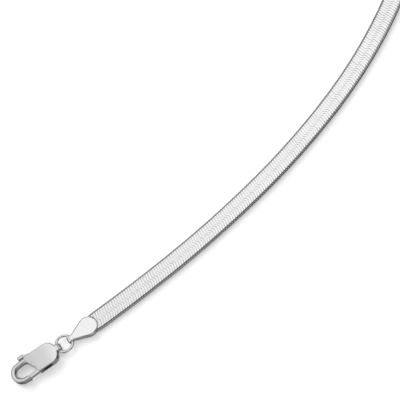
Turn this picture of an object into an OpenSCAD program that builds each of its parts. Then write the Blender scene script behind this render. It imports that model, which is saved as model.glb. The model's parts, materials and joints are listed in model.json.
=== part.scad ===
// Herringbone necklace in silver: a flat woven band laid in one loop, an end cap on each end,
// a jump ring in each cap, and a lobster claw clasp whose lever turns on a pin.
// Millimetres. The necklace lies on the plane z = 0, round the origin.

/* [Necklace] */
// Whole length, from the nose of the clasp along the band to the end of the far ring
necklace_len = 457; // [410:1:560]
// Heading of the band where it leaves the clasp's end cap
lead_heading = -36; // [-60:1:-10]
// Swing of the clasp on its ring, away from the line of the band
clasp_swing = -2; // [-10:1:10]

/* [Band] */
// Width of the woven band
band_w = 4.5; // [3.5:0.1:6]
// Thickness of the woven band
band_t = 1.1; // [0.9:0.05:1.6]

/* [End caps] */
// Length of an end cap, from the middle of its eye to the tip of its round mouth
cap_len = 6.8; // [6:0.1:9]
// Thickness of the cap's sheet over the band
cap_roof = 0.35; // [0.2:0.05:0.6]
// Thickness of the cap's sheet beside the band
cap_wall = 0.16; // [0.14:0.02:0.4]
// How far the band goes in behind the tip of the mouth
cap_grip = 2.6; // [2.2:0.1:3]
// How far each edge of the band is pressed in by its end
cap_pinch = 0.3; // [0.2:0.05:0.4]
// Width of the cap's neck and of its eye
cap_neck_w = 1.3; // [1:0.1:2]
// Rounding of the cap's upper and lower edges
cap_edge = 0.3; // [0.1:0.05:0.4]
// Gap between the band and the cap that is pressed over it
cap_gap = 0.04; // [0.02:0.01:0.1]

/* [Jump rings] */
// Outer diameter of a jump ring
ring_d = 4.2; // [4:0.1:6]
// Diameter of the ring's wire
ring_wire = 0.58; // [0.4:0.02:0.7]
// Gap round the wire in an eye
eye_gap = 0.2; // [0.18:0.01:0.24]
// How far each eye has slid in along the ring, off the middle of its wire
ring_slack = 0.12; // [0:0.01:0.14]

/* [Clasp body] */
// Length of the clasp, from the end of its tail to its nose
clasp_len = 12.4; // [12.2:0.1:14]
// Thickness of the clasp's housing
clasp_t = 2.05; // [1.9:0.05:2.6]
// Width of the clasp's housing
housing_w = 4.8; // [4.6:0.1:5.4]
// Length of the housing along the middle line, from its shoulder to its slanted front
housing_len = 6.35; // [5.9:0.05:6.5]
// Slant of the housing's front, from square to the middle line
front_slant = 22; // [15:1:28]
// Rounding of the housing's upper and lower edges
housing_edge = 0.35; // [0.1:0.05:0.4]
// Radius of the tail's eye barrel
tail_r = 0.85; // [0.75:0.05:0.95]
// Width of the tail
tail_w = 1.45; // [1.2:0.05:1.8]
// Height of the slot that the lever turns in
slot_h = 1; // [0.9:0.05:1.1]
// Width of the hook's wire
hook_w = 0.95; // [0.8:0.05:1.1]
// Height of the hook's wire
hook_h = 1.7; // [1.4:0.05:1.85]
// Radius of the hook's bend, to the middle of its wire
hook_r = 1.85; // [1.6:0.05:1.9]
// Rounding of the hook wire's corners
hook_edge = 0.3; // [0.1:0.05:0.4]

/* [Clasp lever] */
// Gap above and below the lever in its slot
lever_gap = 0.05; // [0.03:0.01:0.08]
// Radius of the lever's hub round the pin
hub_r = 1.05; // [0.9:0.05:1.2]
// Width of the gate where it meets the hook's tip
gate_w = 0.75; // [0.6:0.05:0.9]
// Gap between the gate's end and the hook's tip
gate_gap = 0.06; // [0.04:0.01:0.12]
// Radius of the thumb knob's nose
knob_r = 0.42; // [0.35:0.01:0.5]
// Radius of the hinge pin
pin_r = 0.35; // [0.25:0.05:0.4]
// Gap between the pin and the lever's bore
pin_gap = 0.04; // [0.02:0.01:0.08]

/* [Hidden] */
$fn = 48;

// How far a cut reaches past the solid
over = 1;

silver = [0.9, 0.9, 0.91];
silver_grey = [0.8, 0.8, 0.82];

// Route of the band, laid flat: each row is one arc that turns left,
// [share of the band's length in thousandths, turn in degrees]
route = [
    [47, 3.3], [59, 6], [59, 8.4], [59, 11.7], [59, 14.5], [66, 22.3], [70, 30.6], [139, 66.4],
    [70, 29.5], [66, 20.9], [59, 13.3], [59, 9.9], [59, 6.8], [59, 4.5], [70, 3.5],
];
route_sum = 1000;

// Rings and eyes
ring_r = (ring_d - ring_wire) / 2;
eye_hole_r = ring_wire / 2 + eye_gap;

// End caps
cap_h = band_t + cap_gap + cap_roof;
cap_mouth_r = (band_w / 2 + cap_gap + cap_wall) / (1 + cap_pinch / cap_grip);
cap_eye_z = cap_h / 2;

// Clasp, in its own frame: x from the tail's eye to the nose, y to the gate's side
housing_x = 0.35;
nose_x = clasp_len - tail_r - hook_r - hook_w / 2;
nose_y = 0.2;
hook_lean = 4;
hook_tip_lean = 4;
hook_tip_len = 1.08;
web_r = 0.8;
web_in = 0.1;
web_root = 0.3;
front_x = housing_x + housing_len;
tail_corner_r = 2;
front_right_r = 0.95;
front_left_r = 0.8;
tail_z = clasp_t / 2;
slot_inset = 2.35;
slot_back_x = housing_x + slot_inset;
bridge_len = 0.5;
bridge_x = front_x - bridge_len;
bridge_y = -1.05;

// Lever, in the clasp's frame
lever_t = slot_h - 2 * lever_gap;
pivot_inset = 1.3;
pivot_x = front_x - pivot_inset;
pivot_y = 0.9;
tip_x = nose_x + hook_r * cos(90 - hook_tip_lean) - hook_tip_len * cos(hook_tip_lean);
tip_y = nose_y + hook_r * sin(90 - hook_tip_lean) + hook_tip_len * sin(hook_tip_lean);
joint_slant = 26;
gate_root = 0.55;
gate_in = 0.08;
gate_taper = 0.15;
thumb_root = 0.7;
thumb_gap = 0.25;
thumb_in = 0.2;
knob_len = 1.1;
knob_gap = 0.06;
knob_h = lever_t + 0.3;
knob_back = 1.05;
knob_x = nose_x - knob_back;
hook_side_y = nose_y - (hook_r + hook_w / 2) * cos(hook_lean)
    - (nose_x + (hook_r + hook_w / 2) * sin(hook_lean) - bridge_x) * tan(hook_lean);
knob_y = min(-housing_w / 2, hook_side_y) - knob_r - knob_gap;
seat_gap = 0.02;
pin_len = tail_z + slot_h / 2 + (clasp_t - slot_h) / 4;

// Length of the band that shows between the two mouths
end_len = cap_len + 2 * (ring_r - ring_slack);
near_end_len = end_len + clasp_len - tail_r;
far_end_len = cap_len + ring_r - ring_slack + ring_d / 2;
band_len = necklace_len - near_end_len - far_end_len;

// Pose after an arc: [x, y, heading]
function arc_len(i) = band_len * route[i][0] / route_sum;
function arc_r(i) = arc_len(i) / (route[i][1] * PI / 180);
function along(p, i, share) =
    let (
        turn = route[i][1] * share,
        centre = [p[0] - arc_r(i) * sin(p[2]), p[1] + arc_r(i) * cos(p[2])]
    )
    [centre[0] + arc_r(i) * sin(p[2] + turn), centre[1] - arc_r(i) * cos(p[2] + turn), p[2] + turn];
function pose(i) = i == 0 ? [0, 0, lead_heading] : along(pose(i - 1), i - 1, 1);
poses = [for (i = [0 : len(route)]) pose(i)];
function ahead(p, d) = [p[0] + d * cos(p[2]), p[1] + d * sin(p[2]), p[2]];
function aside(p, d) = [p[0] - d * sin(p[2]), p[1] + d * cos(p[2]), p[2]];
function turned(p, a) = [p[0], p[1], p[2] + a];

// Poses of the end pieces, each facing away from the band
near_eye = turned(ahead(poses[0], -cap_len), 180);
far_eye = ahead(poses[len(route)], cap_len);
near_ring = ahead(near_eye, ring_r - ring_slack);
far_ring_pose = ahead(far_eye, ring_r - ring_slack);
clasp_pose = turned(ahead(near_ring, ring_r - ring_slack), clasp_swing);

// The necklace's extent, which centres it on the origin
samples = 24;
edge_points = [
    for (i = [0 : len(route) - 1])
        for (k = [0 : samples])
            aside(along(poses[i], i, k / samples), -band_w / 2)
];
nose = aside(ahead(clasp_pose, nose_x), nose_y);
nose_reach = hook_r + hook_w / 2;
ring_reach = ring_d / 2;
xs = concat(
    [for (p = edge_points) p[0]],
    [nose[0] - nose_reach, far_ring_pose[0] - ring_reach]
);
ys = concat([for (p = edge_points) p[1]], [nose[1] + nose_reach, far_ring_pose[1] + ring_reach]);
middle = [(min(xs) + max(xs)) / 2, (min(ys) + max(ys)) / 2];

module at(p) {
    translate([p[0] - middle[0], p[1] - middle[1], 0]) rotate([0, 0, p[2]]) children();
}

// Section of a flat strip with half round edges, its underside on y = 0
module strip(w, t) {
    union() {
        translate([-(w - t) / 2, 0]) square([w - t, t]);
        translate([-(w - t) / 2, t / 2]) circle(d = t);
        translate([(w - t) / 2, t / 2]) circle(d = t);
    }
}

// The band's cross-section as one ring of points, [distance to the left, height],
// with each edge pressed in by a pinch
edge_facets = 6;
edge_r = band_t / 2;
function edge_point(side, k, pinch) =
    let (a = 180 * k / edge_facets - 90)
    [side * (band_w / 2 - pinch - edge_r + edge_r * cos(a)), edge_r + edge_r * sin(a)];
function band_section(pinch) = concat(
    [for (k = [0 : edge_facets]) edge_point(-1, k, pinch)],
    [for (k = [edge_facets : -1 : 0]) edge_point(1, k, pinch)]
);

// Poses that the band is swept through, from its end in one cap to its end in the other
station_gap = 4.5;
stations = concat(
    [ahead(poses[0], -cap_grip)],
    [
        for (i = [0 : len(route) - 1])
            let (n = ceil(arc_len(i) / station_gap))
            for (k = [0 : n - 1]) along(poses[i], i, k / n)
    ],
    [poses[len(route)], ahead(poses[len(route)], cap_grip)]
);

module herringbone_band() {
    m = len(band_section(0));
    n = len(stations);
    points = [
        for (i = [0 : n - 1])
            for (q = band_section(i == 0 || i == n - 1 ? cap_pinch : 0))
                let (s = aside(stations[i], q[0])) [s[0], s[1], q[1]]
    ];
    sides = [for (i = [0 : n - 2]) for (j = [0 : m - 1]) [
        i * m + j, i * m + (j + 1) % m, (i + 1) * m + (j + 1) % m, (i + 1) * m + j,
    ]];
    start_face = [for (j = [m - 1 : -1 : 0]) j];
    end_face = [for (j = [0 : m - 1]) (n - 1) * m + j];
    color(silver) at([0, 0, 0]) polyhedron(points, concat(sides, [start_face, end_face]));
}

// A disc with rounded upper and lower edges
module bead(r, h, edge) {
    rotate_extrude()
        polygon(concat(
            [[0, 0], [r - edge, 0]],
            [for (a = [30, 60]) [r - edge + edge * sin(a), edge - edge * cos(a)]],
            [[r, edge], [r, h - edge]],
            [for (a = [60, 30]) [r - edge + edge * sin(a), h - edge + edge * cos(a)]],
            [[r - edge, h], [0, h]]
        ));
}

// Thin slice of the pocket that the band lies in, open below
module pocket_end(x, w) {
    translate([x, 0, 0])
        rotate([90, 0, 90])
            linear_extrude(cap_gap)
                union() {
                    translate([0, -cap_gap]) strip(w + 2 * cap_gap, band_t + 2 * cap_gap);
                    translate([-w / 2 - cap_gap, -over]) square([w + 2 * cap_gap, over + band_t / 2]);
                }
}

// End cap: x runs from the middle of the eye to the mouth
module end_cap() {
    difference() {
        union() {
            hull() {
                translate([cap_len - cap_mouth_r, 0, 0]) bead(cap_mouth_r, cap_h, cap_edge);
                translate([cap_neck_w / 2, 0, 0]) bead(cap_neck_w / 2, cap_h, cap_edge);
            }
            translate([0, cap_neck_w / 2, cap_eye_z]) rotate([90, 0, 0]) cylinder(r = cap_eye_z, h = cap_neck_w);
        }
        translate([0, cap_neck_w, cap_eye_z]) rotate([90, 0, 0]) cylinder(r = eye_hole_r, h = 2 * cap_neck_w);
        hull() {
            pocket_end(cap_len - cap_grip - cap_gap, band_w - 2 * cap_pinch);
            pocket_end(cap_len, band_w);
        }
    }
}

module near_end_cap() {
    color(silver) at(turned(near_eye, 180)) end_cap();
}

module far_end_cap() {
    color(silver) at(turned(far_eye, 180)) end_cap();
}

module jump_ring() {
    rotate_extrude() translate([ring_r, 0]) circle(d = ring_wire, $fn = 24);
}

// The clasp's ring leans from the cap's eye up to the clasp's tail
module clasp_ring() {
    color(silver)
        at(near_ring)
            translate([0, 0, (cap_eye_z + tail_z) / 2])
                rotate([0, -asin((tail_z - cap_eye_z) / (2 * ring_r)), 0])
                    jump_ring();
}

// The far ring leans from its cap's eye down to the surface
module far_ring() {
    color(silver)
        at(far_eye)
            translate([0, 0, cap_eye_z])
                rotate([0, asin((cap_eye_z - ring_wire / 2) / (2 * ring_r)), 0])
                    translate([ring_r - ring_slack, 0, 0]) jump_ring();
}

// Section of the hook's wire: a standing oblong with rounded corners
module hook_section() {
    corner_x = hook_w / 2 - hook_edge;
    corner_y = hook_h / 2 - hook_edge;
    union() {
        square([hook_w, 2 * corner_y], center = true);
        square([2 * corner_x, hook_h], center = true);
        for (side = [-1, 1])
            for (end = [-1, 1])
                translate([side * corner_x, end * corner_y]) circle(r = hook_edge, $fn = 24);
    }
}

// The hook, from inside the housing round the nose to its slanted tip
module hook() {
    tip_cut = 2 * hook_r;
    root_len = (nose_x + hook_r * sin(hook_lean) - bridge_x) / cos(hook_lean);
    difference() {
        translate([nose_x, nose_y, tail_z]) union() {
            rotate([0, 0, hook_lean - 90])
                rotate_extrude(angle = 180 - hook_lean - hook_tip_lean, $fn = 96)
                    translate([hook_r, 0]) hook_section();
            rotate([0, 0, hook_lean])
                translate([0, -hook_r, 0])
                    rotate([90, 0, -90]) linear_extrude(root_len) hook_section();
            rotate([0, 0, -hook_tip_lean])
                translate([0, hook_r, 0])
                    rotate([90, 0, -90]) linear_extrude(hook_tip_len + hook_w) hook_section();
        }
        translate([tip_x, tip_y, 0])
            rotate([0, 0, joint_slant])
                translate([-tip_cut, -tip_cut / 2, -over]) cube([tip_cut, tip_cut, clasp_t + 2 * over]);
    }
}

// Web that rounds the corner between the housing's front and the hook
module web() {
    open = 90 + front_slant - hook_lean;
    side = web_r / tan(open / 2);
    line_y = nose_y - (hook_r - hook_w / 2) * cos(hook_lean);
    line_x = nose_x + (hook_r - hook_w / 2) * sin(hook_lean);
    slope = tan(hook_lean);
    corner_x = (front_x + tan(front_slant) * (slope * line_x - line_y)) / (1 + tan(front_slant) * slope);
    corner_y = line_y + slope * (corner_x - line_x);
    translate([corner_x, corner_y, tail_z - hook_h / 2 + web_in])
        rotate([0, 0, hook_lean])
            linear_extrude(hook_h - 2 * web_in)
                difference() {
                    polygon([
                        [-web_root, -web_root], [side, -web_root], [side, web_r],
                        [side * cos(open), side * sin(open)], [-2 * web_root, 0],
                    ]);
                    translate([side, web_r]) circle(r = web_r);
                }
}

// The housing's rounded outline, cut to its slanted front
module housing() {
    difference() {
        hull() {
            for (side = [-1, 1])
                translate([housing_x + tail_corner_r, side * (housing_w / 2 - tail_corner_r), 0])
                    bead(tail_corner_r, clasp_t, housing_edge);
            translate([front_x, -(housing_w / 2 - front_right_r), 0])
                bead(front_right_r, clasp_t, housing_edge);
            translate([front_x, housing_w / 2 - front_left_r, 0])
                bead(front_left_r, clasp_t, housing_edge);
        }
        translate([front_x, 0, -over])
            rotate([0, 0, front_slant])
                translate([0, -housing_w, 0]) cube([housing_len, 2 * housing_w, clasp_t + 2 * over]);
    }
}

module clasp_body_solid() {
    difference() {
        union() {
            difference() {
                housing();
                translate([slot_back_x, bridge_y, tail_z - slot_h / 2]) cube([housing_len, housing_w, slot_h]);
                translate([slot_back_x, -housing_w, tail_z - slot_h / 2])
                    cube([bridge_x - slot_back_x, housing_w, slot_h]);
            }
            hook();
            web();
            tail();
        }
        translate([0, tail_w, tail_z]) rotate([90, 0, 0]) cylinder(r = eye_hole_r, h = 2 * tail_w);
        translate([pivot_x, pivot_y, -over])
            cylinder(r = pin_r + seat_gap, h = over + pin_len + seat_gap);
    }
}

// The tail: a neck that ends in a barrel with a hole across it for the ring
module tail() {
    translate([0, 0, tail_z]) {
        translate([0, tail_w / 2, 0]) rotate([90, 0, 0]) cylinder(r = tail_r, h = tail_w);
        translate([0, -tail_w / 2, -tail_r]) cube([housing_x + tail_r, tail_w, 2 * tail_r]);
    }
}

module clasp_body() {
    color(silver_grey) at(clasp_pose) clasp_body_solid();
}

// Gate of the lever, along the edge of the housing to the hook's tip
module gate() {
    intersection() {
        linear_extrude(lever_t) polygon([
            [pivot_x - gate_root, pivot_y + gate_root],
            [pivot_x + gate_root, pivot_y + gate_root],
            [tip_x + hook_w, tip_y - gate_w / 2 + gate_taper],
            [tip_x + hook_w, tip_y + gate_w / 2],
            [pivot_x, housing_w / 2 - gate_in],
        ]);
        translate([tip_x, tip_y, -over])
            rotate([0, 0, joint_slant])
                translate([-clasp_len - gate_gap, -clasp_len, 0])
                    cube([clasp_len, 2 * clasp_len, lever_t + 2 * over]);
    }
}

// Thumb arm and knob of the lever, on the other side of the housing
module thumb() {
    linear_extrude(lever_t)
        polygon([
            [pivot_x - thumb_root, pivot_y],
            [pivot_x + thumb_root, pivot_y],
            [bridge_x - thumb_gap, knob_y + knob_r],
            [knob_x, knob_y + knob_r],
            [knob_x, knob_y - knob_r],
            [knob_x - knob_len, knob_y - thumb_in],
            [pivot_x - thumb_gap, -housing_w / 2],
        ]);
    translate([knob_x, knob_y, (lever_t - knob_h) / 2]) cylinder(r = knob_r, h = knob_h);
    translate([knob_x - knob_len, knob_y - knob_r, (lever_t - knob_h) / 2])
        cube([knob_len, 2 * knob_r, knob_h]);
}

module lever_solid() {
    translate([0, 0, tail_z - lever_t / 2])
        difference() {
            union() {
                translate([pivot_x, pivot_y, 0]) cylinder(r = hub_r, h = lever_t);
                gate();
                thumb();
            }
            translate([pivot_x, pivot_y, -over]) cylinder(r = pin_r + pin_gap, h = lever_t + 2 * over);
        }
}

module clasp_lever() {
    color(silver) at(clasp_pose) lever_solid();
}

module clasp_pin() {
    color(silver_grey) at(clasp_pose) translate([pivot_x, pivot_y, 0]) cylinder(r = pin_r, h = pin_len);
}

herringbone_band();
near_end_cap();
far_end_cap();
clasp_ring();
far_ring();
clasp_body();
clasp_lever();
clasp_pin();
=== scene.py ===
import bisect
import json
import math
import random

import bmesh
import bpy
from mathutils import Matrix, Vector


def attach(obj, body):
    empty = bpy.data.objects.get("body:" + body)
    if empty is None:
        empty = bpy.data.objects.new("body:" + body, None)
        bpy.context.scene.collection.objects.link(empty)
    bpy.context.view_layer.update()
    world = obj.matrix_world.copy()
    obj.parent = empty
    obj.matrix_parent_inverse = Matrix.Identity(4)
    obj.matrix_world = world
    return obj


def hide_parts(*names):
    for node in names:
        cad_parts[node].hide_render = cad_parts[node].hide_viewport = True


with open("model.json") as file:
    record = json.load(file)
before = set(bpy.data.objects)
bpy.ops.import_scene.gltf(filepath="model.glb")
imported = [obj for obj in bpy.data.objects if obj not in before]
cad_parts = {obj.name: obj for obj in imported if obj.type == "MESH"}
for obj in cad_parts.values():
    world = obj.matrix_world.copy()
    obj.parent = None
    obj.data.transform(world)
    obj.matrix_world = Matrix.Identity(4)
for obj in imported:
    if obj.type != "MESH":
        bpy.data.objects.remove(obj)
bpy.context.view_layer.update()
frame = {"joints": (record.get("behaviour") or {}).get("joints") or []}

MM = 0.001

# Necklace, as in the part's source
NECKLACE_LEN = 457 * MM
BAND_W = 4.5 * MM
BAND_T = 1.1 * MM
LEAD_HEADING = math.radians(-36)
CLASP_SWING = math.radians(-2)

# Small hardware, as in the part's source, in millimetres
CAP_LEN = 6.8
CAP_ROOF = 0.35
CAP_WALL = 0.16
CAP_GRIP = 2.6
CAP_PINCH = 0.3
CAP_NECK_W = 1.3
CAP_EDGE = 0.3
CAP_BARREL_EDGE = 0.16
BARREL_NARROWING = 0.05
CAP_GAP = 0.04
BAND_END_GAP = 0.05
RING_D = 4.2
RING_WIRE = 0.58
RING_SLACK = 0.12
EYE_GAP = 0.2
CLASP_LEN = 12.4
CLASP_T = 2.05
HOUSING_W = 4.8
HOUSING_X = 0.35
HOUSING_LEN = 6.35
HOUSING_EDGE = 0.35
FRONT_SLANT = math.radians(22)
TAIL_R = 0.85
TAIL_W = 1.45
TAIL_LEN = 1.6
TAIL_EDGE = 0.2
SLOT_H = 1.0
SLOT_BACK = 2.7
BRIDGE_Y = -1.05
BRIDGE_LEN = 0.5
HOOK_W = 0.95
HOOK_H = 1.7
HOOK_R = 1.85
HOOK_EDGE = 0.3
HOOK_LEAN = math.radians(4)
HOOK_TIP_LEN = 1.08
NOSE_SIDE = 0.2
WEB_R = 0.8
LEVER_T = 0.9
HUB_R = 1.05
GATE_W = 0.75
GATE_GAP = 0.06
GATE_EDGE = 0.13
JOINT_SLANT = math.radians(26)
KNOB_R = 0.42
KNOB_LEN = 1.1
KNOB_EDGE = 0.2
KNOB_PROUD = 0.15
KNOB_BACK = 1.05
KNOB_GAP = 0.06
PIN_R = 0.35
PIN_GAP = 0.04
PIN_EDGE = 0.06
SEAT_GAP = 0.02
PIVOT = Vector((5.4, 0.9))

# Fine forms that the solids don't have, in millimetres: the housing's crown, which fades out towards
# its tail and front, its taper (from x, over a length, drop at its end), and the ring's seam
HOUSING_CROWN = 0.03
CROWN_TAIL_LEN = 2
CROWN_FRONT_LEN = 1.5
CROWN_CUTS = 14
TAIL_TAPER = (3.4, 3, 0.16)
FRONT_TAPER = (4.4, 2, 0.04)
RING_STEPS = 72
RING_SEAM = math.radians(100)
RING_SEAM_DIP = 0.93

# Meshes: sharpest edge that stays smooth, and how level a face or far apart two corners count as such
CREASE = math.radians(35)
LEVEL_FACE = 0.999
SAME_HEIGHT = 1e-6
SAME_POINT = 0.0005

MOUTH_R = (BAND_W / MM / 2 + CAP_GAP + CAP_WALL) / (1 + CAP_PINCH / CAP_GRIP)
CAP_EYE_Z = (BAND_T / MM + CAP_GAP + CAP_ROOF) / 2
RING_R = (RING_D - RING_WIRE) / 2
EYE_HOLE_R = RING_WIRE / 2 + EYE_GAP
TAIL_Z = CLASP_T / 2
FRONT_X = HOUSING_X + HOUSING_LEN
BRIDGE_X = FRONT_X - BRIDGE_LEN
JOINT_WAY = Vector((math.cos(JOINT_SLANT), math.sin(JOINT_SLANT), 0))
PIN_TOP = TAIL_Z + SLOT_H / 2 + (CLASP_T - SLOT_H) / 4
NOSE = Vector((CLASP_LEN - TAIL_R - HOOK_R - HOOK_W / 2, NOSE_SIDE))

# The band's route, laid flat: each row is one arc that turns left,
# (share of the band's length in thousandths, turn in degrees)
ROUTE = [
    (47, 3.3), (59, 6), (59, 8.4), (59, 11.7), (59, 14.5), (66, 22.3), (70, 30.6), (139, 66.4),
    (70, 29.5), (66, 20.9), (59, 13.3), (59, 9.9), (59, 6.8), (59, 4.5), (70, 3.5),
]

# Band's woven rows. Leads, slants and jogs are in row pitches.
BAND_GRIP = (CAP_GRIP - BAND_END_GAP) * MM
BAND_PARTS = 3
ROW_PITCH = 0.616 * MM
ROW_SLANT = 1.1
ROW_JOG = 0.58
ROW_JOG_WIDTH = 0.11
ROW_EDGE_SLANT = 0.85
GROOVE_DEPTH = 0.024 * MM
EDGE_GROOVE_DEPTH = 0.055 * MM
ROW_PHASES = [0, 0.09, 0.24, 0.5, 0.76, 0.91]
ROW_DEPTHS = [1, 0.5, 0.1, 0, 0.1, 0.5]
ROW_SEED = 11
PLACE_SPREAD = 0.035
SWAY_SPREAD = 0.07
DEPTH_SPREAD = 0.25

# Painted shade, how dark the grooves are painted: everywhere, more so along the jog and at the rows' ends
# (middle or start to the left, width), on the band's sides, and in the seam where a cap's mouth begins
# (its width)
GROOVE_SHADE = 0.4
DEEP_SHADE = 0.35
JOG_SHADE = (-0.35 * MM, 0.22 * MM)
END_SHADE = (1.05 * MM, 0.5 * MM)
SIDE_SHADE = 0.5
SIDE_NORMAL = 0.95
MOUTH_SHADE_W = 0.22 * MM

# Finishes: (tint, roughness), and the fine wear in the roughness
WOVEN = (0.84, 0.16)
POLISHED = (0.96, 0.1)
CAST = (0.74, 0.14)
# Painted shade on the band: its colour where the "groove" value is full, and the value where the darkening
# starts
PAINTED_SHADE_TINT = 0.22
PAINTED_SHADE_START = 0.15
BLUE_CAST = 1.005
WEAR_SCALE = 900
WEAR_DETAIL = 4
WEAR_SPREAD = (0.75, 1.3)
FLOOR_TINT = 0.95
FLOOR_ROUGHNESS = 0.9
FLOOR_SIZE = 3

# Camera, fitted to the photograph, aimed from the clasp's tail eye
CAMERA_AIM = Vector((40.95, -18.27, 0)) * MM
CAMERA_TO = Vector((-0.2962, -0.3014, 0.9063))
CAMERA_DISTANCE = 297.8 * MM
CAMERA_SENSOR = 36
CAMERA_LENS = 121.5
CAMERA_ROLL = math.radians(28)
CAMERA_NEAR = 10 * MM

# Studio sky, in rows of (place, level). The window's level by the angle from overhead towards the back,
# in degrees, is multiplied by its level by the share to the right. The light of the two sides, by the
# share to the right times by height, is added.
SKY_TURN = math.radians(45.5)
SKY_LEVEL = 1.25
SKY_ANGLES = [
    (-180, 0.2), (-145, 0.22), (-112, 0.34), (-86, 0.5), (-62, 0.5), (-50, 0.14), (-11, 0.12), (-1, 1.0),
    (18, 0.88), (29, 0.88), (34, 1.0), (40, 0.1), (54, 0.1), (62, 0.5), (84, 0.5), (110, 0.4), (180, 0.2),
]
SKY_SHARES = [
    (-1, 0.1), (-0.55, 0.15), (-0.3, 0.7), (-0.12, 0.82), (0.05, 0.98), (0.18, 1.0), (0.34, 1.0),
    (0.46, 0.1), (1, 0.1),
]
SKY_SIDES = [(-1, 0.62), (-0.7, 0.62), (-0.5, 0), (0.5, 0), (0.7, 0.62), (1, 0.62)]
SKY_HEIGHTS = [
    (-1, 0.1), (-0.5, 0.15), (-0.1, 0.25), (0.2, 0.36), (0.32, 1), (0.7, 1), (0.85, 0.4), (1, 0),
]

# Lamps: (way, distance, size, power). The fill stands behind the camera, so its shadows are hidden.
KEY_LAMP = ((0.35, 0.68, 0.42), 3.0, 3.3, 90)
FILL_LAMP = (CAMERA_TO, 3.0, 0.15, 35)


def ahead(pose, distance):
    x, y, heading = pose
    return (x + distance * math.cos(heading), y + distance * math.sin(heading), heading)


def turned(pose, angle):
    return (pose[0], pose[1], pose[2] + angle)


def after_arc(pose, length, turn):
    """The pose after an arc that turns left."""
    x, y, heading = pose
    radius = length / turn
    centre = (x - radius * math.sin(heading), y + radius * math.cos(heading))
    end = heading + turn
    return (centre[0] + radius * math.sin(end), centre[1] - radius * math.cos(end), end)


# The clasp's place comes from the frame's hinge, and the rest follows from the clasp
hinge = frame["joints"][0]["pos_m"]
clasp_heading = LEAD_HEADING + math.pi + CLASP_SWING
pivot_turned = Matrix.Rotation(clasp_heading, 2) @ (PIVOT * MM)
clasp_pose = (hinge[0] - pivot_turned.x, hinge[1] - pivot_turned.y, clasp_heading)
ring_reach = (RING_R - RING_SLACK) * MM
near_ring_pose = ahead(turned(clasp_pose, -CLASP_SWING), -ring_reach)
near_eye_pose = ahead(near_ring_pose, -ring_reach)
band_start = turned(ahead(near_eye_pose, -CAP_LEN * MM), -math.pi)

hardware_len = (2 * CAP_LEN + RING_D / 2 + CLASP_LEN - TAIL_R) * MM + 3 * ring_reach
band_len = NECKLACE_LEN - hardware_len
arc_ends = [0.0]
arc_poses = [band_start]
for share, turn in ROUTE:
    length = band_len * share / 1000
    arc_poses.append(after_arc(arc_poses[-1], length, math.radians(turn)))
    arc_ends.append(arc_ends[-1] + length)
far_eye_pose = ahead(arc_poses[-1], CAP_LEN * MM)


def band_pose(distance):
    """The pose on the band's middle line, straight on past both of its ends."""
    if distance <= 0:
        return ahead(band_start, distance)
    if distance >= band_len:
        return ahead(arc_poses[-1], distance - band_len)
    i = bisect.bisect_right(arc_ends, distance) - 1
    share = (distance - arc_ends[i]) / (arc_ends[i + 1] - arc_ends[i])
    return after_arc(arc_poses[i], distance - arc_ends[i], math.radians(ROUTE[i][1]) * share)


def groove_lead(x):
    """How far a row on top runs ahead at x, a share of the half width: a slant with a jog inside."""
    return ROW_SLANT * x - ROW_JOG * math.tanh(x / ROW_JOG_WIDTH)


def groove_shade(n):
    """How dark a groove is painted on top, as painted shade: most beside the rows' jog and at their ends.
    """
    jog = math.exp(-((n - JOG_SHADE[0]) / JOG_SHADE[1]) ** 2)
    end = min(max((abs(n) - END_SHADE[0]) / END_SHADE[1], 0), 1)
    return GROOVE_SHADE + DEEP_SHADE * max(jog, end)


def band_girth():
    """Points round the band: (to the left, height, outward normal, row's lead, depth, painted shade)."""
    half = BAND_W / 2
    edge_r = BAND_T / 2
    flat_w = half - edge_r
    top_lead = groove_lead(flat_w / half)
    end_shade = groove_shade(flat_w)
    top_steps = 20
    top_crowding = 1.25
    edge_steps = 8
    bottom_steps = 12

    def edge(side, down):
        """A point on the round edge to one side, from 0 at its top down to 1."""
        a = math.pi * down
        depth = GROOVE_DEPTH + (EDGE_GROOVE_DEPTH - GROOVE_DEPTH) * math.sin(a)
        return (
            side * (flat_w + edge_r * math.sin(a)), edge_r + edge_r * math.cos(a),
            (side * math.sin(a), math.cos(a)), side * (top_lead + ROW_EDGE_SLANT * down), depth, end_shade,
        )

    points = []
    for k in range(top_steps):
        share = 1 - 2 * k / top_steps
        n = flat_w * math.copysign(abs(share) ** top_crowding, share)
        points.append((n, BAND_T, (0, 1), groove_lead(n / half), GROOVE_DEPTH, groove_shade(n)))
    for k in range(edge_steps):
        points.append(edge(-1, k / edge_steps))
    for k in range(bottom_steps):
        share = 2 * k / bottom_steps - 1
        lead = share * (top_lead + ROW_EDGE_SLANT)
        points.append((share * flat_w, 0, (0, -1), lead, GROOVE_DEPTH, end_shade))
    for k in range(edge_steps):
        points.append(edge(1, 1 - k / edge_steps))
    return points


def belt(bm, circles, steps=12):
    """A flat face inside a belt laid counterclockwise round some circles (x, y, radius)."""
    corners = []
    for i, (x, y, r) in enumerate(circles):
        next_x, next_y, next_r = circles[(i + 1) % len(circles)]
        gap = math.hypot(next_x - x, next_y - y)
        corners.append(math.atan2(next_y - y, next_x - x) - math.acos((r - next_r) / gap))
    first = last = None
    for i, (x, y, r) in enumerate(circles):
        angle = corners[i - 1]
        start = bm.verts.new((x + r * math.cos(angle), y + r * math.sin(angle), 0))
        if last:
            bm.edges.new((last, start))
        last = start
        first = first or start
        if r:
            arc = bmesh.ops.spin(
                bm, geom=[start], cent=(x, y, 0), axis=(0, 0, 1), steps=steps,
                angle=(corners[i] - angle) % (2 * math.pi),
            )
            last = arc["geom_last"][0]
    bm.edges.new((last, first))
    bmesh.ops.edgeloop_fill(bm, edges=bm.edges[:])
    return bm


def disc(x, y, radius, segments=48):
    """A flat round face."""
    bm = bmesh.new()
    bmesh.ops.create_circle(
        bm, cap_ends=True, segments=segments, radius=radius, matrix=Matrix.Translation((x, y, 0)))
    return bm


def flat(*circles, steps=12):
    return belt(bmesh.new(), circles, steps)


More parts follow.
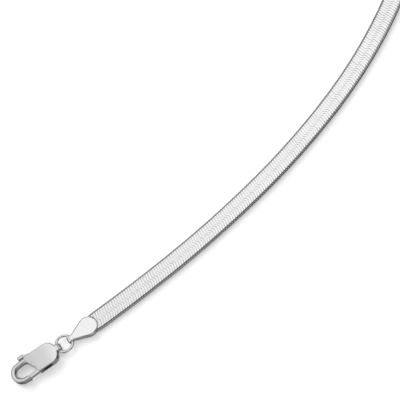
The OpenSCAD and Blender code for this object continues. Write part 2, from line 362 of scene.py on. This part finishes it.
def polygon(*corners):
    """A flat face on its corners, in their order."""
    return flat(*((x, y, 0) for x, y in corners))


def sliced(bm, x, y, slant):
    """Cuts off what lies ahead of a slanted line through a point."""
    bmesh.ops.bisect_plane(
        bm, geom=bm.verts[:] + bm.edges[:] + bm.faces[:], plane_co=(x, y, 0),
        plane_no=(math.cos(slant), math.sin(slant), 0), clear_outer=True,
    )
    return bm


def plate(bm, low, high, edge=0.0, segments=4):
    """Raises a flat face to a plate from low to high, with its upper and lower rims rounded."""
    bmesh.ops.translate(bm, verts=bm.verts, vec=(0, 0, low))
    led_on(bm, bm.faces[:], (0, 0, high - low))
    bmesh.ops.recalc_face_normals(bm, faces=bm.faces)
    if edge:
        rims = [e for e in bm.edges if abs(e.verts[0].co.z - e.verts[1].co.z) < SAME_HEIGHT]
        bmesh.ops.bevel(
            bm, geom=rims, offset=edge, offset_type="OFFSET", segments=segments,
            profile=0.5, affect="EDGES", material=-1, clamp_overlap=True,
        )
        ends = [f for f in bm.faces if abs(f.normal.z) > LEVEL_FACE]
        bmesh.ops.inset_individual(bm, faces=ends, thickness=edge / 10)
    return bm


def upright(bm, y):
    """Stands a plate that was drawn on x and z up on its edge, with its middle on y."""
    bmesh.ops.rotate(bm, verts=bm.verts, cent=(0, 0, 0), matrix=Matrix.Rotation(math.pi / 2, 3, "X"))
    bmesh.ops.translate(bm, verts=bm.verts, vec=(0, y, 0))
    return bm


def box(low, high):
    bm = bmesh.new()
    size = Vector(high) - Vector(low)
    middle = Matrix.Translation((Vector(high) + Vector(low)) / 2)
    bmesh.ops.create_cube(bm, size=1, matrix=middle @ Matrix.Diagonal(size).to_4x4())
    return bm


def worked(bm, *steps):
    """A solid after each step: ("UNION" or "DIFFERENCE", another solid)."""
    pieces = []
    for solid in (bm, *(other for step, other in steps)):
        mesh = bpy.data.meshes.new("blank")
        solid.to_mesh(mesh)
        solid.free()
        pieces.append(bpy.data.objects.new("blank", mesh))
        bpy.context.scene.collection.objects.link(pieces[-1])
    for (step, other), tool in zip(steps, pieces[1:]):
        modifier = pieces[0].modifiers.new(step, "BOOLEAN")
        modifier.operation = step
        modifier.solver = "EXACT"
        modifier.object = tool
    result = bmesh.new()
    result.from_object(pieces[0], bpy.context.evaluated_depsgraph_get())
    for piece in pieces:
        mesh = piece.data
        bpy.data.objects.remove(piece)
        bpy.data.meshes.remove(mesh)
    return result


def finished(bm, pose, height=0.0, lean=0.0):
    """Takes a part from its own frame in millimetres to its place, leaned nose down, and smooths it."""
    bmesh.ops.remove_doubles(bm, verts=bm.verts, dist=SAME_POINT)
    bmesh.ops.recalc_face_normals(bm, faces=bm.faces)
    for face in bm.faces:
        face.smooth = True
    for edge in bm.edges:
        edge.smooth = len(edge.link_faces) == 2 and edge.calc_face_angle() < CREASE
    x, y, heading = pose
    place = Matrix.Translation((x, y, height * MM)) @ Matrix.Rotation(heading, 4, "Z")
    place = place @ Matrix.Rotation(lean, 4, "Y") @ Matrix.Scale(MM, 4)
    bmesh.ops.transform(bm, matrix=place, verts=bm.verts)
    return bm


def new_piece(name, bm, body, slot, material, *nodes):
    """Makes a bmesh into a piece that rides on a body, has a material slot and replaces CAD nodes."""
    mesh = bpy.data.meshes.new(name)
    bm.to_mesh(mesh)
    bm.free()
    mesh.materials.append(material)
    piece = bpy.data.objects.new(name, mesh)
    bpy.context.scene.collection.objects.link(piece)
    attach(piece, body)
    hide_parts(*nodes)


def woven_rows(name, grooves, first, last, girth, material):
    """A stretch of the band: a grid bent round the section and along the route, sunk at each groove."""
    phases = len(ROW_PHASES)
    along = (last - first) * phases
    around = len(girth)
    bm = bmesh.new()
    bmesh.ops.create_grid(bm, x_segments=along, y_segments=around, size=0.5)
    # The painted shade at each corner, read by the band's material as the "groove" attribute
    painted_shade_layer = bm.verts.layers.float.new("groove")
    for vert in bm.verts:
        i = round((vert.co.x + 0.5) * along)
        j = round((vert.co.y + 0.5) * around) % around
        row = first + i // phases
        phase = ROW_PHASES[i % phases]
        dip = ROW_DEPTHS[i % phases]
        to_left, height, normal, lead, depth, shade = girth[j]
        here = grooves[row]
        there = grooves[min(row + 1, last)]
        start = here["place"] + lead * here["sway"] * ROW_PITCH
        end = there["place"] + lead * there["sway"] * ROW_PITCH
        distance = start + (end - start) * phase
        x, y, heading = band_pose(distance)
        sunk = dip * depth * here["depth"]
        inside = max(-distance, distance - band_len, 0) / (CAP_GRIP * MM)
        pinch = 1 - inside * CAP_PINCH * MM / (BAND_W / 2)
        n = to_left * pinch - sunk * normal[0]
        vert.co = (x - n * math.sin(heading), y + n * math.cos(heading), height - sunk * normal[1])
        # Painted shade: in the seam where a cap's mouth begins and on the band's sides, besides the
        # grooves' own
        from_mouth = math.hypot(min(distance, band_len - distance) + MOUTH_R * MM, n) - MOUTH_R * MM
        seam = min(max(1 - from_mouth / MOUTH_SHADE_W, 0), 1) if height > BAND_T / 2 else 0
        side = SIDE_SHADE if abs(normal[1]) < SIDE_NORMAL else 0
        vert[painted_shade_layer] = max(dip * shade, seam, side)
    bmesh.ops.remove_doubles(bm, verts=bm.verts, dist=2 * SAME_POINT * MM)
    bmesh.ops.holes_fill(bm, edges=[e for e in bm.edges if e.is_boundary], sides=0)
    bmesh.ops.recalc_face_normals(bm, faces=bm.faces)
    for face in bm.faces:
        face.smooth = True
    new_piece(name, bm, "necklace", "woven_silver", material, "herringbone_band")


def herringbone_band(material):
    """The whole band in a few stretches, which meet in a groove."""
    chance = random.Random(ROW_SEED)
    length = band_len + 2 * BAND_GRIP
    rows = round(length / ROW_PITCH)
    spread = PLACE_SPREAD * ROW_PITCH
    grooves = [
        {
            "place": -BAND_GRIP + length * row / rows + chance.uniform(-spread, spread),
            "sway": 1 + chance.uniform(-SWAY_SPREAD, SWAY_SPREAD),
            "depth": 1 + chance.uniform(-DEPTH_SPREAD, DEPTH_SPREAD),
        }
        for row in range(rows + 1)
    ]
    girth = band_girth()
    cuts = [round(rows * k / BAND_PARTS) for k in range(BAND_PARTS + 1)]
    for k in range(BAND_PARTS):
        woven_rows(f"woven_band_{k + 1}", grooves, cuts[k], cuts[k + 1], girth, material)


# Small hardware, each part in its own frame in millimetres

def jump_ring():
    """A ring of round wire, with the fine seam where it was closed."""
    wire = RING_WIRE / 2
    bm = bmesh.new()
    stand = Matrix.Translation((RING_R, 0, 0)) @ Matrix.Rotation(math.pi / 2, 4, "X")
    bmesh.ops.create_circle(bm, cap_ends=False, segments=18, radius=wire, matrix=stand)
    bmesh.ops.spin(
        bm, geom=bm.verts[:] + bm.edges[:], cent=(0, 0, 0), axis=(0, 0, 1),
        angle=2 * math.pi, steps=RING_STEPS, use_merge=True,
    )
    middle = Vector((RING_R * math.cos(RING_SEAM), RING_R * math.sin(RING_SEAM), 0))
    for vert in bm.verts:
        if abs(math.atan2(vert.co.y, vert.co.x) - RING_SEAM) < math.pi / RING_STEPS:
            vert.co = middle + (vert.co - middle) * RING_SEAM_DIP
    return bm


def clasp_ring(material):
    """The ring that leans from the cap's eye up to the clasp's tail."""
    lean = -math.asin((TAIL_Z - CAP_EYE_Z) / (2 * RING_R))
    bm = finished(jump_ring(), near_ring_pose, (CAP_EYE_Z + TAIL_Z) / 2, lean)
    new_piece("clasp_jump_ring", bm, "necklace", "polished_silver", material, "clasp_ring")


def far_ring(material):
    """The ring that leans from the far cap's eye down to the surface."""
    lean = math.asin((CAP_EYE_Z - RING_WIRE / 2) / (2 * RING_R))
    bm = jump_ring()
    bmesh.ops.translate(bm, verts=bm.verts, vec=(RING_R - RING_SLACK, 0, 0))
    bm = finished(bm, far_eye_pose, CAP_EYE_Z, lean)
    new_piece("far_jump_ring", bm, "necklace", "polished_silver", material, "far_ring")


def end_cap(name, pose, material, node):
    """A teardrop cap pressed over the band, with a round barrel for the ring at its neck."""
    neck_r = CAP_NECK_W / 2
    eye_r = CAP_EYE_Z
    outline = flat((neck_r, 0, neck_r), (CAP_LEN - MOUTH_R, 0, MOUTH_R), steps=32)
    roof = plate(outline, 0, 2 * eye_r, CAP_EDGE)
    barrel = flat((0, eye_r, eye_r), (2 * eye_r, eye_r, eye_r - BARREL_NARROWING), steps=16)
    barrel = upright(plate(barrel, -neck_r, neck_r, CAP_BARREL_EDGE), 0)
    eye = upright(plate(disc(0, eye_r, EYE_HOLE_R, 32), -CAP_NECK_W, CAP_NECK_W), 0)
    bm = worked(roof, ("UNION", barrel), ("DIFFERENCE", eye), ("DIFFERENCE", pocket_form()))
    finished(bm, pose)
    new_piece(name, bm, "necklace", "polished_silver", material, node)


def pocket_form():
    """What a cap's pocket takes away: the band's own tapered form with a gap round it, open below."""
    middle = BAND_T / MM / 2
    round_r = middle + CAP_GAP
    start = CAP_LEN - CAP_GRIP - CAP_GAP
    length = CAP_GRIP + 2 * CAP_GAP
    half = BAND_W / MM / 2 - CAP_PINCH + CAP_GAP
    wide = 1 + (CAP_PINCH + CAP_GAP) / half
    bm = flat(
        (-half, -1, 0), (half, -1, 0),
        (half - round_r, middle, round_r), (-half + round_r, middle, round_r),
        steps=8,
    )
    far = led_on(bm, bm.faces[:], (0, 0, length))
    bmesh.ops.scale(bm, verts=far, vec=(wide, 1, 1))
    stand = Matrix(((0, 0, 1), (1, 0, 0), (0, 1, 0)))
    bmesh.ops.transform(bm, matrix=Matrix.Translation((start, 0, 0)) @ stand.to_4x4(), verts=bm.verts)
    bmesh.ops.recalc_face_normals(bm, faces=bm.faces)
    return bm


def hook_form():
    """The hook: a rounded oblong section led from the bridge round the nose to its slanted tip."""
    side = HOOK_W / 2 - HOOK_EDGE
    rise = HOOK_H / 2 - HOOK_EDGE
    bm = flat(
        (-side, -rise, HOOK_EDGE), (side, -rise, HOOK_EDGE),
        (side, rise, HOOK_EDGE), (-side, rise, HOOK_EDGE),
        steps=6,
    )
    start = Matrix.Rotation(HOOK_LEAN - math.pi / 2, 4, "Z")
    stand = Matrix.Translation((HOOK_R, 0, 0)) @ Matrix.Rotation(math.pi / 2, 4, "X")
    bmesh.ops.transform(bm, matrix=start @ stand, verts=bm.verts)
    section = bm.faces[:]
    root_len = (NOSE.x + HOOK_R * math.sin(HOOK_LEAN) - BRIDGE_X) / math.cos(HOOK_LEAN)
    led_on(bm, section, (-root_len * math.cos(HOOK_LEAN), -root_len * math.sin(HOOK_LEAN), 0))
    bend = bmesh.ops.spin(
        bm, geom=[f for f in section if f.is_valid], cent=(0, 0, 0), axis=(0, 0, 1),
        angle=math.pi - 2 * HOOK_LEAN, steps=36,
    )
    end = [f for f in bend["geom_last"] if isinstance(f, bmesh.types.BMFace)]
    tip_len = HOOK_TIP_LEN + HOOK_W
    led_on(bm, end, (-tip_len * math.cos(HOOK_LEAN), tip_len * math.sin(HOOK_LEAN), 0))
    inner = [f for f in bm.faces if all(len(e.link_faces) > 2 for e in f.edges)]
    bmesh.ops.delete(bm, geom=inner, context="FACES_ONLY")
    bmesh.ops.translate(bm, verts=bm.verts, vec=(NOSE.x, NOSE.y, TAIL_Z))
    cut_past(bm, hook_tip(), -JOINT_WAY)
    bmesh.ops.recalc_face_normals(bm, faces=bm.faces)
    return bm


def led_on(bm, faces, way):
    """Leads faces on along a straight way, and returns their far corners."""
    made = bmesh.ops.extrude_face_region(bm, geom=faces)
    moved = [v for v in made["geom"] if isinstance(v, bmesh.types.BMVert)]
    bmesh.ops.translate(bm, verts=moved, vec=way)
    return moved


def cut_past(bm, point, outward):
    """Cuts a solid at a plane near its end, drops what lies outward of it there, and closes the cut."""
    near = [f for f in bm.faces if (f.calc_center_median() - point).length < 2 * HOOK_W]
    geom = dict.fromkeys(near)
    for face in near:
        geom.update(dict.fromkeys(face.verts))
        geom.update(dict.fromkeys(face.edges))
    cut = bmesh.ops.bisect_plane(bm, geom=list(geom), plane_co=point, plane_no=outward, clear_outer=True)
    rim = [e for e in cut["geom_cut"] if isinstance(e, bmesh.types.BMEdge)]
    bmesh.ops.edgeloop_fill(bm, edges=rim)


def hook_tip():
    """The middle of the hook's slanted end face."""
    x = NOSE.x + HOOK_R * math.sin(HOOK_LEAN) - HOOK_TIP_LEN * math.cos(HOOK_LEAN)
    y = NOSE.y + HOOK_R * math.cos(HOOK_LEAN) + HOOK_TIP_LEN * math.sin(HOOK_LEAN)
    return Vector((x, y, TAIL_Z))


def web_form():
    """The web that rounds the corner between the housing's front and the hook."""
    root = 0.3
    inset = 0.1
    wide = math.pi / 2 + FRONT_SLANT - HOOK_LEAN
    side = WEB_R / math.tan(wide / 2)
    line_x = NOSE.x + (HOOK_R - HOOK_W / 2) * math.sin(HOOK_LEAN)
    line_y = NOSE.y - (HOOK_R - HOOK_W / 2) * math.cos(HOOK_LEAN)
    slope = math.tan(HOOK_LEAN)
    front = math.tan(FRONT_SLANT)
    corner_x = (FRONT_X + front * (slope * line_x - line_y)) / (1 + front * slope)
    corner_y = line_y + slope * (corner_x - line_x)
    bm = bmesh.new()
    start = bm.verts.new((side * math.cos(wide), side * math.sin(wide), 0))
    arc = bmesh.ops.spin(
        bm, geom=[start], cent=(side, WEB_R, 0), axis=(0, 0, 1), angle=math.pi - wide, steps=10)
    before = start
    for x, y in ((-2 * root, 0), (-root, -root), (side, -root)):
        corner = bm.verts.new((x, y, 0))
        bm.edges.new((before, corner))
        before = corner
    bm.edges.new((before, arc["geom_last"][0]))
    bmesh.ops.edgeloop_fill(bm, edges=bm.edges[:])
    plate(bm, TAIL_Z - HOOK_H / 2 + inset, TAIL_Z + HOOK_H / 2 - inset)
    turn = Matrix.Translation((corner_x, corner_y, 0)) @ Matrix.Rotation(HOOK_LEAN, 4, "Z")
    bmesh.ops.transform(bm, matrix=turn, verts=bm.verts)
    return bm


def housing_form():
    """The clasp's housing: a long plate with rounded rims, a slanted front and a slightly crowned top."""
    tail_r = 2.0
    right_r = 0.95
    left_r = 0.8
    half = HOUSING_W / 2
    outline = flat(
        (HOUSING_X + tail_r, tail_r - half, tail_r), (FRONT_X, right_r - half, right_r),
        (FRONT_X, half - left_r, left_r), (HOUSING_X + tail_r, half - tail_r, tail_r),
        steps=16,
    )
    bm = plate(sliced(outline, FRONT_X, 0, FRONT_SLANT), 0, CLASP_T - HOUSING_CROWN, HOUSING_EDGE, 5)
    crown(bm, HOUSING_X, FRONT_X, half - HOUSING_EDGE)
    tail_start, tail_reach, tail_drop = TAIL_TAPER
    front_start, front_reach, front_drop = FRONT_TAPER
    for vert in bm.verts:
        if vert.co.z > TAIL_Z:
            to_tail = max(tail_start - vert.co.x, 0) / tail_reach
            to_front = max(vert.co.x - front_start, 0) / front_reach
            vert.co.z -= tail_drop * to_tail ** 2 + front_drop * to_front ** 2
    return bm


def crown(bm, back, front, half):
    """Cuts a plate into a grid and swells its top a little inside the rims, most along its middle."""
    for axis, low, high in ((0, back, front), (1, -half, half)):
        normal = Vector((axis == 0, axis == 1, 0))
        for k in range(1, CROWN_CUTS):
            bmesh.ops.bisect_plane(
                bm, geom=bm.verts[:] + bm.edges[:] + bm.faces[:], plane_no=normal,
                plane_co=normal * (low + (high - low) * k / CROWN_CUTS),
            )
    bm.normal_update()
    inner = [v for v in bm.verts if all(f.normal.z > LEVEL_FACE for f in v.link_faces)]
    for vert in inner:
        across = 1 - min(abs(vert.co.y) / half, 1) ** 2
        along = min((vert.co.x - back) / CROWN_TAIL_LEN, (front - vert.co.x) / CROWN_FRONT_LEN, 1)
        vert.co.z += HOUSING_CROWN * across * math.sin(max(along, 0) * math.pi / 2)


def clasp_casting(material):
    """The clasp's one casting: housing with its slot, hook, web and the tail with its eye."""
    low = TAIL_Z - SLOT_H / 2
    high = TAIL_Z + SLOT_H / 2
    reach = 2 * HOUSING_W
    tail = flat((0, TAIL_Z, TAIL_R), (TAIL_LEN, TAIL_Z, TAIL_R - BARREL_NARROWING), steps=16)
    tail = upright(plate(tail, -TAIL_W / 2, TAIL_W / 2, TAIL_EDGE), 0)
    eye = upright(plate(disc(0, TAIL_Z, EYE_HOLE_R, 32), -TAIL_W, TAIL_W), 0)
    bore = plate(disc(PIVOT.x, PIVOT.y, PIN_R + SEAT_GAP, 32), -1, PIN_TOP + SEAT_GAP)
    bm = worked(
        housing_form(),
        ("DIFFERENCE", box((SLOT_BACK, BRIDGE_Y, low), (reach, reach, high))),
        ("DIFFERENCE", box((SLOT_BACK, -reach, low), (BRIDGE_X, 0, high))),
        ("UNION", hook_form()),
        ("UNION", web_form()),
        ("UNION", tail),
        ("DIFFERENCE", eye),
        ("DIFFERENCE", bore),
    )
    finished(bm, clasp_pose)
    new_piece("clasp_casting", bm, "necklace", "clasp_silver", material, "clasp_body")


def knob_side():
    """How far out to the side the knob's middle lies, clear of the housing and of the hook."""
    outer = HOOK_R + HOOK_W / 2
    hook_side = NOSE.y - outer * math.cos(HOOK_LEAN)
    hook_side -= (NOSE.x + outer * math.sin(HOOK_LEAN) - BRIDGE_X) * math.tan(HOOK_LEAN)
    return min(-HOUSING_W / 2, hook_side) - KNOB_R - KNOB_GAP


def gate_form():
    """The gate, from the hub along the housing's edge to the hook's tip."""
    root = 0.55
    tip_inset = 0.15
    side_inset = 0.08
    tip = hook_tip()
    outline = polygon(
        (PIVOT.x - root, PIVOT.y + root), (PIVOT.x + root, PIVOT.y + root),
        (tip.x + HOOK_W, tip.y - GATE_W / 2 + tip_inset), (tip.x + HOOK_W, tip.y + GATE_W / 2),
        (PIVOT.x, HOUSING_W / 2 - side_inset),
    )
    stop = tip - GATE_GAP * JOINT_WAY
    return plate(sliced(outline, stop.x, stop.y, JOINT_SLANT), 0, LEVER_T, GATE_EDGE)


def thumb_form():
    """The arm from the hub out of the housing's other side to the knob."""
    root = 0.7
    gap = 0.25
    arm_drop = 0.2
    knob_inset = 0.1
    x = NOSE.x - KNOB_BACK
    y = knob_side()
    outline = polygon(
        (PIVOT.x - root, PIVOT.y), (PIVOT.x - gap, -HOUSING_W / 2), (x - KNOB_LEN, y - arm_drop),
        (x, y - KNOB_R + knob_inset), (x, y + KNOB_R), (BRIDGE_X - gap, y + KNOB_R),
        (PIVOT.x + root, PIVOT.y),
    )
    return plate(outline, 0, LEVER_T)


def sprung_lever(material):
    """The lever: a hub on the pin, the gate that closes the hook, and the thumb's arm and knob."""
    x = NOSE.x - KNOB_BACK
    y = knob_side()
    hub = plate(disc(PIVOT.x, PIVOT.y, HUB_R), 0, LEVER_T)
    knob = flat((x - KNOB_LEN + KNOB_R, y, KNOB_R), (x, y, KNOB_R))
    knob = plate(knob, -KNOB_PROUD, LEVER_T + KNOB_PROUD, KNOB_EDGE)
    bore = plate(disc(PIVOT.x, PIVOT.y, PIN_R + PIN_GAP, 32), -1, LEVER_T + 1)
    bm = worked(
        hub, ("UNION", gate_form()), ("UNION", thumb_form()), ("UNION", knob), ("DIFFERENCE", bore))
    finished(bm, clasp_pose, TAIL_Z - LEVER_T / 2)
    new_piece("sprung_lever", bm, "lever", "clasp_silver", material, "clasp_lever")


def hinge_pin(material):
    """The pin that the lever turns on, with its foot's rim rounded."""
    bm = plate(disc(PIVOT.x, PIVOT.y, PIN_R, 32), 0, PIN_TOP, PIN_EDGE)
    finished(bm, clasp_pose)
    new_piece("hinge_pin", bm, "necklace", "clasp_silver", material, "clasp_pin")


# Materials

def silver(name, tint, roughness):
    """Polished silver, with faint wear in its roughness."""
    material = bpy.data.materials.new(name)
    material.use_nodes = True
    nodes = material.node_tree.nodes
    links = material.node_tree.links
    shader = nodes["Principled BSDF"]
    shader.inputs["Base Color"].default_value = (tint, tint, tint * BLUE_CAST, 1)
    shader.inputs["Metallic"].default_value = 1
    coords = nodes.new("ShaderNodeTexCoord")
    wear = nodes.new("ShaderNodeTexNoise")
    wear.inputs["Scale"].default_value = WEAR_SCALE
    wear.inputs["Detail"].default_value = WEAR_DETAIL
    links.new(coords.outputs["Object"], wear.inputs["Vector"])
    spread = nodes.new("ShaderNodeMapRange")
    spread.inputs["To Min"].default_value = roughness * WEAR_SPREAD[0]
    spread.inputs["To Max"].default_value = roughness * WEAR_SPREAD[1]
    links.new(wear.outputs["Fac"], spread.inputs["Value"])
    links.new(spread.outputs["Result"], shader.inputs["Roughness"])
    return material


def woven_silver():
    """The band's silver, with painted shade: darker down in the grooves between its rows, on its sides and
    by the caps' mouths.
    """
    material = silver("woven_silver", *WOVEN)
    nodes = material.node_tree.nodes
    links = material.node_tree.links
    # The painted shade: the "groove" attribute darkens the colour from the band's tint to the painted
    # shade's tint
    groove = nodes.new("ShaderNodeAttribute")
    groove.attribute_name = "groove"
    colour = nodes.new("ShaderNodeMapRange")
    colour.interpolation_type = "SMOOTHSTEP"
    colour.inputs["From Min"].default_value = PAINTED_SHADE_START
    colour.inputs["To Min"].default_value = WOVEN[0]
    colour.inputs["To Max"].default_value = PAINTED_SHADE_TINT
    links.new(groove.outputs["Fac"], colour.inputs["Value"])
    links.new(colour.outputs["Result"], nodes["Principled BSDF"].inputs["Base Color"])
    return material


# Studio

def studio_floor():
    """A plain pale floor, which polished metal doesn't mirror."""
    bm = bmesh.new()
    bmesh.ops.create_grid(bm, x_segments=1, y_segments=1, size=FLOOR_SIZE)
    mesh = bpy.data.meshes.new("floor")
    bm.to_mesh(mesh)
    bm.free()
    material = bpy.data.materials.new("floor_white")
    material.use_nodes = True
    shader = material.node_tree.nodes["Principled BSDF"]
    shader.inputs["Base Color"].default_value = (FLOOR_TINT, FLOOR_TINT, FLOOR_TINT, 1)
    shader.inputs["Roughness"].default_value = FLOOR_ROUGHNESS
    shader.inputs["Specular IOR Level"].default_value = 0
    mesh.materials.append(material)
    floor = bpy.data.objects.new("floor", mesh)
    bpy.context.scene.collection.objects.link(floor)
    floor.visible_glossy = False


def studio_sky():
    """What the silver mirrors: a bright window overhead, dark before and behind it, and lit sides."""
    world = bpy.data.worlds.new("studio")
    bpy.context.scene.world = world
    world.use_nodes = True
    nodes = world.node_tree.nodes
    links = world.node_tree.links
    coords = nodes.new("ShaderNodeTexCoord")

    def along(axis):
        """How far the way looked at points along an axis."""
        dot = nodes.new("ShaderNodeVectorMath")
        dot.operation = "DOT_PRODUCT"
        dot.inputs[1].default_value = axis
        links.new(coords.outputs["Generated"], dot.inputs[0])
        return dot.outputs["Value"]

    def levels(value, reach, stops):
        """The level that a value from -reach to reach has in a table of stops."""
        spread = nodes.new("ShaderNodeMapRange")
        spread.inputs["From Min"].default_value = -reach
        spread.inputs["From Max"].default_value = reach
        links.new(value, spread.inputs["Value"])
        ramp = nodes.new("ShaderNodeValToRGB")
        links.new(spread.outputs["Result"], ramp.inputs["Fac"])
        elements = ramp.color_ramp.elements
        while len(elements) < len(stops):
            elements.new(0.5)
        for element, (place, level) in zip(elements, stops):
            element.position = place / stops[-1][0] / 2 + 0.5
            element.color = (level, level, level, 1)
        return ramp.outputs["Color"]

    angle = nodes.new("ShaderNodeMath")
    angle.operation = "ARCTAN2"
    links.new(along((math.cos(SKY_TURN), math.sin(SKY_TURN), 0)), angle.inputs[0])
    links.new(along((0, 0, 1)), angle.inputs[1])
    right = along((math.sin(SKY_TURN), -math.cos(SKY_TURN), 0))
    sides = nodes.new("ShaderNodeMath")
    sides.operation = "MULTIPLY"
    links.new(levels(right, 1, SKY_SIDES), sides.inputs[0])
    links.new(levels(along((0, 0, 1)), 1, SKY_HEIGHTS), sides.inputs[1])
    window = nodes.new("ShaderNodeMath")
    window.operation = "MULTIPLY_ADD"
    links.new(levels(angle.outputs["Value"], math.pi, SKY_ANGLES), window.inputs[0])
    links.new(levels(right, 1, SKY_SHARES), window.inputs[1])
    links.new(sides.outputs["Value"], window.inputs[2])
    strength = nodes.new("ShaderNodeMath")
    strength.operation = "MULTIPLY"
    strength.inputs[1].default_value = SKY_LEVEL
    links.new(window.outputs["Value"], strength.inputs[0])
    nodes["Background"].inputs["Color"].default_value = (1, 1, 1, 1)
    links.new(strength.outputs["Value"], nodes["Background"].inputs["Strength"])


def photo_aim():
    """The point on the floor that the camera looks at."""
    return Vector((clasp_pose[0], clasp_pose[1], 0)) + CAMERA_AIM


def soft_lamp(name, way, distance, size, power):
    """A soft lamp that lights the floor and the shadow, and doesn't show in the metal."""
    light = bpy.data.lights.new(name, "AREA")
    light.shape = "DISK"
    light.size = size
    light.energy = power
    lamp = bpy.data.objects.new(name, light)
    bpy.context.scene.collection.objects.link(lamp)
    way = Vector(way).normalized()
    lamp.location = photo_aim() + way * distance
    lamp.rotation_euler = (-way).to_track_quat("-Z", "Y").to_euler()
    lamp.visible_glossy = False


def photo_camera():
    """The photograph's camera, rolled as it was held."""
    data = bpy.data.cameras.new("camera")
    data.sensor_width = CAMERA_SENSOR
    data.lens = CAMERA_LENS
    data.clip_start = CAMERA_NEAR
    camera = bpy.data.objects.new("camera", data)
    bpy.context.scene.collection.objects.link(camera)
    back = CAMERA_TO.normalized()
    level = Vector((0, 0, 1)).cross(back).normalized()
    up = back.cross(level)
    right = math.cos(CAMERA_ROLL) * level - math.sin(CAMERA_ROLL) * up
    top = math.sin(CAMERA_ROLL) * level + math.cos(CAMERA_ROLL) * up
    axes = Matrix((right, top, back)).transposed()
    camera.matrix_world = Matrix.Translation(photo_aim() + back * CAMERA_DISTANCE) @ axes.to_4x4()
    bpy.context.scene.camera = camera


photo_camera()
studio_floor()
studio_sky()
soft_lamp("key_lamp", *KEY_LAMP)
soft_lamp("fill_lamp", *FILL_LAMP)
bpy.context.scene.view_settings.view_transform = "Standard"

woven = woven_silver()
polished = silver("polished_silver", *POLISHED)
cast = silver("clasp_silver", *CAST)

herringbone_band(woven)
end_cap("near_cap", turned(near_eye_pose, math.pi), polished, "near_end_cap")
end_cap("far_cap", turned(far_eye_pose, math.pi), polished, "far_end_cap")
clasp_ring(polished)
far_ring(polished)
clasp_casting(cast)
sprung_lever(cast)
hinge_pin(cast)
